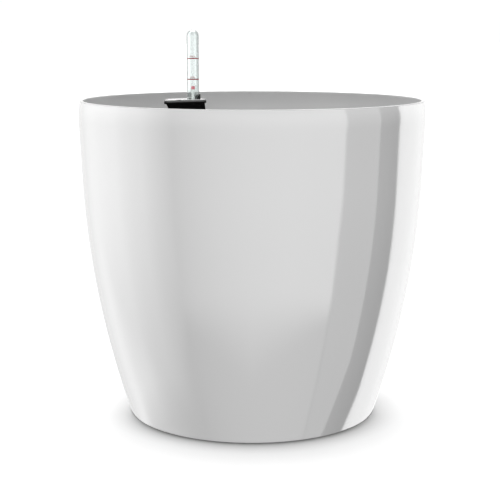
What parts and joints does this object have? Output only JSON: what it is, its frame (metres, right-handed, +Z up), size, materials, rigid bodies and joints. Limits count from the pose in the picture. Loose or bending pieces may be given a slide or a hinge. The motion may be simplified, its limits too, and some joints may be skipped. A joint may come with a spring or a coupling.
{
  "type": "self watering planter",
  "caption": "Round tapered gloss planter with a reservoir under a slotted plate, a corner-cut filler hopper and a clear float water-level tube.",
  "frame": {"origin": "middle of the base, on the surface the planter stands on", "axes": "+Z up; -Y the front seen in the reference view; +X to that view's right; the indicator tube is at -X +Y"},
  "size_m": [0.4004, 0.4002, 0.4453],
  "materials": {
    "shell_gloss_white": "high gloss outside",
    "insert_black": "satin moulded",
    "flap_black": "gloss",
    "pin_steel": "drawn wire",
    "seal_rubber": "smooth",
    "tube_clear": "clear moulded plastic",
    "float_foam": "closed-cell foam",
    "rod_white": "smooth",
    "tip_red": "gloss",
    "wick_felt": "needle felt"
  },
  "bodies": {
    "pot": {"outer_pot": "shell_gloss_white"},
    "plug": {"drain_plug": "insert_black", "drain_seal": "seal_rubber"},
    "insert": {"separator_plate": "insert_black", "support_leg_1": "insert_black", "support_leg_2": "insert_black", "support_leg_3": "insert_black", "support_leg_4": "insert_black", "support_leg_5": "insert_black", "support_leg_6": "insert_black", "wick_1": "wick_felt", "wick_2": "wick_felt", "wick_3": "wick_felt", "wick_4": "wick_felt", "fill_shaft": "insert_black", "filler_hopper": "insert_black", "hopper_cover": "insert_black", "flap_hinge_pin": "pin_steel"},
    "flap": {"filler_flap": "flap_black"},
    "indicator": {"indicator_sight_tube": "tube_clear", "indicator_lower_tube": "insert_black", "indicator_foot": "insert_black", "rod_guide": "insert_black"},
    "float": {"float_body": "float_foam", "float_rod": "rod_white", "float_tip": "tip_red"}
  },
  "joints": [
    {"name": "insert_lift", "type": "slide", "parent": "pot", "child": "insert", "axis": [0, 0, 1], "range_m": [0, 0.37]},
    {"name": "indicator_lift", "type": "slide", "parent": "insert", "child": "indicator", "axis": [0, 0, 1], "range_m": [0, 0.36]},
    {"name": "float_rise", "type": "slide", "parent": "indicator", "child": "float", "axis": [0, 0, 1], "range_m": [0, 0.042]},
    {"name": "flap_hinge", "type": "hinge", "parent": "insert", "child": "flap", "pos_m": [-0.09602, 0.08817, 0.3603], "axis": [-0.891, -0.454, 0], "range_deg": [0, 95]},
    {"name": "plug_pull", "type": "slide", "parent": "pot", "child": "plug", "axis": [0, 0, 1], "range_m": [0, 0.025]}
  ]
}
